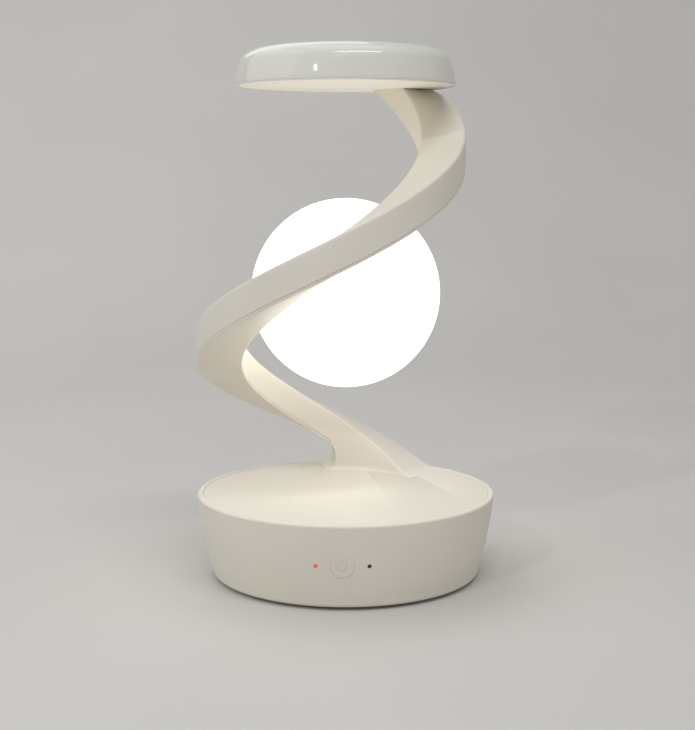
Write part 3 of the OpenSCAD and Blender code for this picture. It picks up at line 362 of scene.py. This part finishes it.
node_finishes = {
    casing_white: ["base_shell", "bottom_cover", "turntable_plate", "spiral_arm", "arm_cover"],
    pad_white_painted_bounce: ["pad_base"],
    button_white: ["power_button"],
    gloss_white: ["pad_top", "globe_neck"],
    opal_light: ["globe"],
    black_rubber: ["rubber_feet"],
    pale_silicone: ["grip_ring"],
    zinc_steel: ["cover_screws", "motor_screws", "board_screws", "front_screws", "gear_screws",
                 "arm_screws", "pad_screws", "retaining_clip", "motor_shaft", "gear_motor",
                 "usb_socket", "globe_nut"],
    ballast_iron: ["ballast_plate"],
    natural_nylon: ["bearing_bush", "turntable_gear", "motor_pinion"],
    bronze: ["thrust_washer"],
    copper_wire: ["charging_coil"],
    green_board: ["main_board", "front_board", "coil_board"],
    white_board: ["led_stick"],
    phosphor: ["led_chips"],
    black_resin: ["board_parts", "coil_parts", "slip_ring_stator", "slip_ring_rotor", "switch_body",
                  "switch_plunger"],
    ferrite: ["ferrite_disc"],
    cable_jacket: ["arm_cable", "globe_lead"],
    clear_epoxy: ["status_leds"],
    red_lens: ["power_lens"],
    dark_lens: ["charge_lens"],
}
for material, names in node_finishes.items():
    for name in names:
        nodes[name].data.materials.clear()
        nodes[name].data.materials.append(material)


# Making pieces


def piece(name, shape, material, body, replaced=None, sharp=35):
    """Turn a bmesh into a smooth piece that rides on a body. Edges past the sharp angle stay crisp."""
    mesh = bpy.data.meshes.new(name)
    for face in shape.faces:
        face.smooth = True
    shape.to_mesh(mesh)
    shape.free()
    mesh.set_sharp_from_angle(angle=math.radians(sharp))
    made = bpy.data.objects.new(name, mesh)
    bpy.context.scene.collection.objects.link(made)
    mesh.materials.append(material)
    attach(made, body)
    if replaced:
        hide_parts(replaced)
    return made


def lofted(rings):
    """Skin through rings of equal length: a grid is laid along them, sewn up and capped."""
    around = len(rings[0])
    along = len(rings) - 1
    shape = bmesh.new()
    bmesh.ops.create_grid(shape, x_segments=around, y_segments=along, size=0.5)
    for vert in shape.verts:
        column = round((vert.co.x + 0.5) * around) % around
        row = round((vert.co.y + 0.5) * along)
        vert.co = rings[row][column]
    bmesh.ops.remove_doubles(shape, verts=shape.verts, dist=1e-7)
    bmesh.ops.holes_fill(shape, edges=shape.edges, sides=around)
    bmesh.ops.recalc_face_normals(shape, faces=shape.faces)
    return shape


def turned(profile, steps):
    """Closed profile of radius and height, spun about Z."""
    shape = bmesh.new()
    verts = [shape.verts.new((r, 0, z)) for r, z in profile]
    edges = [shape.edges.new((verts[i - 1], verts[i])) for i in range(len(verts))]
    bmesh.ops.spin(shape, geom=verts + edges, axis=(0, 0, 1), cent=(0, 0, 0), steps=steps,
                   angle=math.tau, use_merge=True)
    bmesh.ops.remove_doubles(shape, verts=shape.verts, dist=1e-6)
    bmesh.ops.recalc_face_normals(shape, faces=shape.faces)
    return shape


def made_verts(result):
    """Vertices in what an operator made."""
    return [g for g in result["geom"] if isinstance(g, bmesh.types.BMVert)]


def loop_of(verts):
    """Edges that join vertices of one loop to each other."""
    inside = set(verts)
    return list({e for v in verts for e in v.link_edges if e.other_vert(v) in inside})


def ring_of(shape, count, radius, first):
    """Set copies of a shape on a circle round Z."""
    one = shape.verts[:] + shape.edges[:] + shape.faces[:]
    copies = [shape.verts[:]]
    copies += [made_verts(bmesh.ops.duplicate(shape, geom=one)) for k in range(count - 1)]
    for k, verts in enumerate(copies):
        turn = Matrix.Rotation(math.radians(first + 360 * k / count), 4, "Z")
        bmesh.ops.transform(shape, matrix=turn @ Matrix.Translation((radius, 0, 0)), verts=verts)
    return shape


# Spiral arm: a channel that is closed below by a strip


def arm_share(angle):
    return (angle - arm_start) / 360


def arm_mid(angle):
    share = arm_share(angle)
    return (plate_top - arm_sink + arm_lead_foot * share
            + (arm_lead_top - arm_lead_foot) / 2 * share * share)


def arm_angle(z):
    bend = (arm_lead_top - arm_lead_foot) / 2
    rise = z - plate_top + arm_sink
    share = (math.sqrt(arm_lead_foot ** 2 + 4 * bend * rise) - arm_lead_foot) / (2 * bend)
    return arm_start + 360 * share


def arm_out_r(angle):
    share = arm_share(angle)
    rest = 1 - share
    a, b, c, d = arm_radii
    return a * rest ** 3 + 3 * b * share * rest ** 2 + 3 * c * share ** 2 * rest + d * share ** 3


def arm_in_r(angle):
    return arm_out_r(angle) - mix(*arm_widths, arm_share(angle))


def arm_low(angle):
    return arm_mid(angle) - arm_thick / 2


arm_toe = arm_angle(plate_top + thin_end - root_flare ** 2 / thin_end - arm_thick / 2)
arm_tip = arm_toe - toe_run


def arm_high(angle):
    """Height of the upper face, which runs out onto the plate and stops at the pad."""
    h = arm_mid(angle) + arm_thick / 2 - plate_top
    flare = (h + math.sqrt(h * h + 4 * root_flare ** 2)) / 2
    fade = min(1, max(toe_least, (angle - arm_tip) / toe_run))
    return min(plate_top + flare * fade, pad_floor)


def fillet(z, radius):
    """How far a fillet of a radius on the plate reaches out at a height."""
    h = min(radius, max(0, z - plate_top))
    return radius - math.sqrt(radius ** 2 - (radius - h) ** 2)


def arm_side_r(angle, z, flare):
    """Outer radius, kept inside the plate's edge at the foot and the pad's edge at the head."""
    return min(arm_out_r(angle) + flare, foot_reach_r + edge_lean * (z - plate_top),
               head_reach_r + edge_lean * (pad_low - z))


arm_end = arm_angle(pad_floor - thin_end + arm_thick / 2)
root_mid_r = (arm_out_r(root_angle) + arm_in_r(root_angle)) / 2
root_split = mix(arm_tip, root_angle, root_split_share)
root_h = arm_low(root_angle) - plate_top
seat = strip_thick + strip_gap
seam_angle = math.degrees(strip_gap / root_mid_r)
channel_end = arm_angle(pad_floor - arm_thick / 2) + channel_past
foot_steps = 24
hollow_steps = 20
turn_steps = 240
side_rows = 10
edge_steps = 4


def root_edge(share):
    """Angle of the root's hollow front edge at a share of its height."""
    back = root_lean * (1 - share) + 4 * root_hollow * share * (1 - share)
    back -= fillet(plate_top + root_h * share, end_fillet)
    return root_angle - math.degrees(back / root_mid_r)


# A station is the angle and height of the lower edge, the angle of the upper edge, the share of
# the channel that is cut and the depth of the strip's seat.


def foot_stations():
    found = []
    for i in range(foot_steps):
        t = i / foot_steps
        found.append((mix(arm_tip, root_edge(0), t), plate_top, mix(arm_tip, root_split, t), 0, 0))
    for i in range(hollow_steps + 1):
        share = (i / hollow_steps) ** hollow_crowding
        top = mix(root_split, root_angle, (i + 1) / (hollow_steps + 1))
        found.append((root_edge(share), plate_top + root_h * share, top, 0, 0))
    return found


def turn_stations(seam):
    found = []
    for i in range(turn_steps + 1):
        angle = mix(root_angle + seam, arm_end, i / turn_steps)
        cut = min(1, (angle - root_angle) / channel_fade, (channel_end - angle) / channel_fade)
        found.append((angle, arm_low(angle), angle, max(0, cut), seat))
    return found


def station_length(station):
    run = math.radians(station[2] - station[0]) * root_mid_r
    return math.hypot(run, arm_high(station[2]) - station[1])


def on_station(station, share, inset, outer):
    """Point on a side of a station, at a share of its height and moved inwards by an inset."""
    angle = mix(station[0], station[2], share)
    top = arm_high(station[2])
    z = mix(station[1], top, share)
    flare = fillet(z, min(side_fillet, side_fillet_share * (top - plate_top)))
    if outer:
        return polar(arm_side_r(angle, z, flare) - inset, angle, z)
    return polar(arm_in_r(angle) - flare + inset, angle, z)


def rounded_corner(radius):
    """Inset and drop of the points round an edge, from the side to the top."""
    return [(radius - x, radius - y) for x, y in arc(0, 0, radius, radius, 0, 90, edge_steps)]


def arm_ring(station):
    """Section of the channel at a station. Its rows crowd towards the lower edge."""
    length = station_length(station)
    low = min(station[4], length / 2)
    edge = min(arm_edge, length / 3, max(least_edge, pad_floor - arm_high(station[2])))
    shallow = min(seat_groove, groove_share * length)
    roof = low + mix(shallow, max(groove_share * length, length - low - arm_roof), station[3])
    rows = [mix(low, length - edge, (j / side_rows) ** 2) for j in range(side_rows)]
    corner = rounded_corner(edge)
    ring = [on_station(station, z / length, 0, True) for z in rows]
    ring += [on_station(station, 1 - drop / length, inset, True) for inset, drop in corner]
    ring += [on_station(station, 1 - drop / length, inset, False) for inset, drop in reversed(corner)]
    ring += [on_station(station, z / length, 0, False) for z in reversed(rows)]
    ring.append(on_station(station, low / length, arm_wall, False))
    ring.append(on_station(station, roof / length, arm_wall, False))
    ring.append(on_station(station, roof / length, arm_wall, True))
    ring.append(on_station(station, low / length, arm_wall, True))
    return ring


def strip_ring(station):
    """Section of the strip at a station."""
    length = station_length(station)
    top = min(seat, length / 2) * strip_thick / seat
    edge = min(arm_edge, top) / 2
    corner = rounded_corner(edge)
    ring = [on_station(station, top / length, 0, False)]
    ring += [on_station(station, drop / length, inset, False) for inset, drop in corner]
    ring += [on_station(station, drop / length, inset, True) for inset, drop in reversed(corner)]
    ring.append(on_station(station, top / length, 0, True))
    return ring


arm_shape = lofted([arm_ring(s) for s in foot_stations() + turn_stations(seam_angle)])
piece("arm_ribbon", arm_shape, casing_white, "turntable", "spiral_arm")
strip_shape = lofted([strip_ring(s) for s in turn_stations(2 * seam_angle)])
piece("arm_strip", strip_shape, casing_white, "turntable", "arm_cover")


# Turntable plate: the solid, with its rim brought close to the casing

plate_shape = bmesh.new()
plate_shape.from_mesh(nodes["turntable_plate"].data)
bmesh.ops.remove_doubles(plate_shape, verts=plate_shape.verts, dist=1e-6)
for vert in plate_shape.verts:
    reach = vert.co.xy.length
    if reach > plate_r - rim_band:
        vert.co.xy *= (reach + rim_close) / reach
piece("turntable_disc", plate_shape, casing_white, "turntable", "turntable_plate")


# Globe: a shell with a mouth where the neck goes in

globe_shape = bmesh.new()
bmesh.ops.create_uvsphere(globe_shape, u_segments=128, v_segments=96, radius=globe_r)
mouth_z = math.sqrt(globe_r ** 2 - mouth_r ** 2)
globe_parts = globe_shape.verts[:] + globe_shape.edges[:] + globe_shape.faces[:]
bmesh.ops.bisect_plane(globe_shape, geom=globe_parts, plane_co=(0, 0, mouth_z), plane_no=(0, 0, 1),
                       clear_outer=True)
bmesh.ops.recalc_face_normals(globe_shape, faces=globe_shape.faces)
bmesh.ops.solidify(globe_shape, geom=globe_shape.faces[:], thickness=globe_wall)
mouth_turn = Matrix.Rotation(math.radians(90), 4, "Y")
globe_turn = Matrix.Rotation(math.radians(globe_angle), 4, "Z") @ mouth_turn
bmesh.ops.transform(globe_shape, matrix=Matrix.Translation((0, 0, globe_z)) @ globe_turn,
                    verts=globe_shape.verts)
piece("globe_shell", globe_shape, opal_light, "turntable", "globe")


# Charging pad: the polished cover, with the groove for the grip ring

shoulder_z = pad_high - pad_shoulder_h
shoulder_r = pad_r - pad_lean
flat_r = shoulder_r - pad_shoulder_w
seat_r = pad_r - pad_wall
seat_z = pad_base_top + seat_gap
shoulder = arc(flat_r, shoulder_z, pad_shoulder_w, pad_shoulder_h, shoulder_start, 90, 36)
shoulder_foot_r, shoulder_foot_z = shoulder[0]
cover_profile = [(seat_r + seat_step, pad_low)]
cover_profile += arc(pad_r - pad_lip, pad_low + pad_lip, pad_lip, pad_lip, -90, 0, 6)
for row in range(1, pad_side_steps):
    up = row / pad_side_steps
    side_r = mix(pad_r, shoulder_foot_r, up - pad_bow * up * (1 - up))
    cover_profile.append((side_r, mix(pad_low + pad_lip, shoulder_foot_z, up)))
cover_profile += shoulder
cover_profile += [
    (grip_out_r + groove_gap + groove_soft, pad_high),
    (grip_out_r + groove_gap, pad_high - groove_soft),
    (grip_out_r + groove_gap, groove_floor),
    (grip_in_r - groove_gap, groove_floor),
    (grip_in_r - groove_gap, pad_high - groove_soft),
    (grip_in_r - groove_gap - groove_soft, pad_high),
    (0, pad_high),
    (0, pad_high - pad_wall),
]
cover_profile += arc(flat_r, shoulder_z, pad_shoulder_w - pad_wall, pad_shoulder_h - pad_wall,
                     90, 0, 16)
cover_profile += [(seat_r - seat_lap, seat_z), (seat_r + seat_step, seat_z)]
piece("pad_cover", turned(cover_profile, 192), gloss_white, "turntable",
      "pad_top")


# Grip ring: soft concentric ribs that the phone lies on

rib_w = (grip_out_r - grip_in_r) / grip_ribs
grip_profile = [(grip_out_r, grip_low.z), (grip_in_r, grip_low.z)]
for rib in range(grip_ribs):
    middle_r = grip_in_r + (rib + 0.5) * rib_w
    grip_profile += arc(middle_r, grip_high.z - grip_rib_h, rib_w / 2, grip_rib_h, 180, 0, 8)
piece("grip_ribs", turned(grip_profile, 128), pale_silicone, "turntable",
      "grip_ring", 60)


# Power button: its face follows the casing's curve, and carries a plain on-off mark


def lay_on_casing(shape, flat_from):
    """Turn a shape that lies flat, with its depth along Z, to the casing's front. What is deeper than
    flat_from stays flat."""
    for vert in shape.verts:
        x, side, depth = vert.co
        wall_r = casing_r(button_z + side)
        face_y = -math.sqrt(wall_r ** 2 - x * x) if depth < flat_from else -casing_r(button_z)
        vert.co = (x, face_y + depth, button_z + side)
    bmesh.ops.recalc_face_normals(shape, faces=shape.faces)
    return shape


lip_depth = button_high.y + casing_r(button_z) - button_stem - button_lip
stem_depth = lip_depth + button_lip + button_stem
button_profile = [(button_r * ring / 6, -button_proud) for ring in range(6)]
button_profile += arc(button_r - button_soft, button_soft - button_proud, button_soft, button_soft,
                      -90, 0, 6)
button_profile += [
    (button_r, lip_depth),
    (button_lip_r, lip_depth),
    (button_lip_r, lip_depth + button_lip),
    (button_stem_r, lip_depth + button_lip),
    (button_stem_r, stem_depth),
    (0, stem_depth),
]
button_shape = lay_on_casing(turned(button_profile, 96), lip_depth / 2)
piece("button_cap", button_shape, button_white, "button", "power_button", 40)

mark_shape = bmesh.new()
mark_turn = Matrix.Rotation(math.radians(90 + mark_gap / 2), 4, "Z")
mark_radii = (mark_r - mark_line / 2, mark_r + mark_line / 2)
mark_ends = [mark_shape.verts.new(mark_turn @ Vector((r, 0, 0))) for r in mark_radii]
bmesh.ops.spin(mark_shape, geom=mark_ends + [mark_shape.edges.new(mark_ends)], axis=(0, 0, 1),
               cent=(0, 0, 0), steps=48, angle=math.radians(360 - mark_gap))
bar_place = Matrix.Translation((0, mark_r, 0)) @ Matrix.Diagonal((mark_line, mark_bar, 1, 1))
bmesh.ops.create_grid(mark_shape, x_segments=1, y_segments=6, size=0.5, matrix=bar_place)
mark_back = made_verts(bmesh.ops.extrude_face_region(mark_shape, geom=mark_shape.faces[:]))
bmesh.ops.translate(mark_shape, verts=mark_shape.verts, vec=(0, 0, -button_proud - mark_proud))
bmesh.ops.translate(mark_shape, verts=mark_back, vec=(0, 0, 2 * mark_proud))
mark_shape = lay_on_casing(mark_shape, lip_depth / 2)
piece("button_mark", mark_shape, mark_print, "button")


# Cover screws: pan heads with a cross recess, seen from below


def cross_screw():
    """Screw with the face of its head on the origin and its shank up."""
    shape = bmesh.new()
    corners = ((recess_long, -recess_half), (recess_long, recess_half), (recess_half, recess_half))
    outline = []
    for quarter in range(4):
        turn = Matrix.Rotation(math.radians(90 * quarter), 4, "Z")
        outline += [turn @ Vector((x, y, 0)) for x, y in corners]
    cross = [shape.verts.new(place) for place in outline]
    cross_edges = [shape.edges.new((cross[i - 1], cross[i])) for i in range(len(cross))]
    rim = bmesh.ops.create_circle(shape, segments=32, radius=screw_head_r - screw_soft)["verts"]
    bmesh.ops.bridge_loops(shape, edges=cross_edges + loop_of(rim))
    floor = made_verts(bmesh.ops.extrude_edge_only(shape, edges=cross_edges))
    shrink = Matrix.Diagonal((recess_taper, recess_taper, 1, 1))
    sink = Matrix.Translation((0, 0, recess_depth)) @ shrink
    bmesh.ops.transform(shape, matrix=sink, verts=floor)
    bmesh.ops.contextual_create(shape, geom=loop_of(floor))
    tip = screw_high.z - screw_low.z
    rings = arc(screw_head_r - screw_soft, screw_soft, screw_soft, screw_soft, -60, 0, 3)
    rings += [(screw_head_r, screw_head_h), (screw_shank_r, screw_head_h)]
    rings += [(screw_shank_r, tip - screw_shank_r), (screw_tip_share * screw_shank_r, tip)]
    radius = screw_head_r - screw_soft
    for ring_r, z in rings:
        rim = made_verts(bmesh.ops.extrude_edge_only(shape, edges=loop_of(rim)))
        ratio = ring_r / radius
        widen = Matrix.Translation((0, 0, z)) @ Matrix.Diagonal((ratio, ratio, 0, 1))
        bmesh.ops.transform(shape, matrix=widen, verts=rim)
        radius = ring_r
    bmesh.ops.contextual_create(shape, geom=loop_of(rim))
    bmesh.ops.recalc_face_normals(shape, faces=shape.faces)
    return shape


screw_set = ring_of(cross_screw(), 4, screw_circle_r, 45)
bmesh.ops.translate(screw_set, verts=screw_set.verts, vec=(0, 0, screw_low.z))
piece("cross_screws", screw_set, zinc_steel, "base", "cover_screws")


# Rubber feet: soft edges, a hollow middle and a ring groove, at shares of the radius

foot_profile = [
    (0, foot_groove),
    (0.25 * foot_r, foot_groove),
    (0.3 * foot_r, 0),
    (0.58 * foot_r, 0),
    (0.63 * foot_r, foot_groove),
    (0.7 * foot_r, foot_groove),
    (0.75 * foot_r, 0),
]
foot_profile += arc(foot_r - foot_soft, foot_soft, foot_soft, foot_soft, -90, 0, 6)
foot_profile += [(foot_r, foot_high.z), (0, foot_high.z)]
piece("soft_feet", ring_of(turned(foot_profile, 48), 4, foot_circle_r, 0), black_rubber, "base",
      "rubber_feet")


# USB-C contacts: a row on each face of the tongue

contact_shape = bmesh.new()
contact_y = usb_high.y - tongue_back - contact_size.y / 2
for face in (-1, 1):
    for k in range(contact_count):
        x = (k - (contact_count - 1) / 2) * contact_pitch
        z = (usb_low.z + usb_high.z) / 2 + face * tongue_thick / 2
        place = Matrix.Translation((x, contact_y, z)) @ Matrix.Diagonal((*contact_size, 1))
        bmesh.ops.create_cube(contact_shape, size=1, matrix=place)
piece("usb_contacts", contact_shape, gold_plate, "base")


# Studio: a pale sweep, soft lamps and the camera


def studio_finish(name, light, dark):
    # Painted board: quite matte, with a faint drift of tone.
    material, tree, bsdf, place = finish(name, light, roughness=0.6)
    mottle(tree, bsdf, place, light, dark, 300 * MM)
    return material


def sweep(name, width, front, back, height, bend, material):
    """Floor that curves up into a backdrop."""
    shape = bmesh.new()
    line = [(front, 0), (back - bend, 0)]
    line += arc(back - bend, bend, bend, bend, -90, 0, 24)
    line.append((back, height))
    verts = [shape.verts.new((-width / 2, y, z)) for y, z in line]
    edges = [shape.edges.new((verts[i], verts[i + 1])) for i in range(len(verts) - 1)]
    far_side = made_verts(bmesh.ops.extrude_edge_only(shape, edges=edges))
    bmesh.ops.translate(shape, verts=far_side, vec=(width, 0, 0))
    bmesh.ops.remove_doubles(shape, verts=shape.verts, dist=1e-6)
    bmesh.ops.recalc_face_normals(shape, faces=shape.faces)
    mesh = bpy.data.meshes.new(name)
    for face in shape.faces:
        face.smooth = True
    shape.to_mesh(mesh)
    shape.free()
    made = bpy.data.objects.new(name, mesh)
    bpy.context.scene.collection.objects.link(made)
    mesh.materials.append(material)


pale_board = studio_finish("pale studio board", "#d6d4d1", "#d1cfcb")
sweep("studio_sweep", width=6, front=-3, back=1.2, height=2.5, bend=0.6, material=pale_board)

lamp_aim = Vector((0, 0, 0.11))
lamp_distance = 1.4
room_light = 0.36


def soft_lamp(name, azimuth, elevation, width, height, power):
    """White area lamp that looks at the middle of the object from a direction. The power is in watts."""
    lamp = bpy.data.lights.new(name, "AREA")
    lamp.shape = "RECTANGLE"
    lamp.size = width
    lamp.size_y = height
    lamp.energy = power
    made = bpy.data.objects.new(name, lamp)
    bpy.context.scene.collection.objects.link(made)
    lift = math.radians(elevation)
    away = polar(lamp_distance * math.cos(lift), azimuth, lamp_distance * math.sin(lift))
    made.location = lamp_aim + away
    made.rotation_euler = (-away).to_track_quat("-Z", "Y").to_euler()
    made.visible_camera = False


soft_lamp("left_key", -121, 29, 0.03, 0.03, 2.0)
soft_lamp("front_window", -80, 44, 0.9, 0.4, 1.0)
soft_lamp("high_strip", -70, 61, 0.9, 0.16, 4.3)
soft_lamp("left_softbox", 178, 34, 1.8, 1.3, 4.2)
soft_lamp("top_softbox", 90, 82, 0.9, 0.9, 1.6)
soft_lamp("back_softbox", 110, 40, 0.9, 0.9, 2.5)

world = bpy.data.worlds.new("soft room")
bpy.context.scene.world = world
world.use_nodes = True
world.node_tree.nodes["Background"].inputs["Color"].default_value = linear("#ffffff")
world.node_tree.nodes["Background"].inputs["Strength"].default_value = room_light

camera = bpy.data.objects.new("camera", bpy.data.cameras.new("camera"))
bpy.context.scene.collection.objects.link(camera)
camera.data.sensor_width = sensor_mm
camera.data.lens = focal_px * sensor_mm / image_h
camera.location = polar(camera_distance, camera_angle, camera_height)
heading = camera_angle + 180 - camera_pan
camera.rotation_euler = (math.radians(90 - camera_pitch), 0, math.radians(heading - 90))
bpy.context.scene.camera = camera
bpy.context.scene.view_settings.view_transform = "Standard"
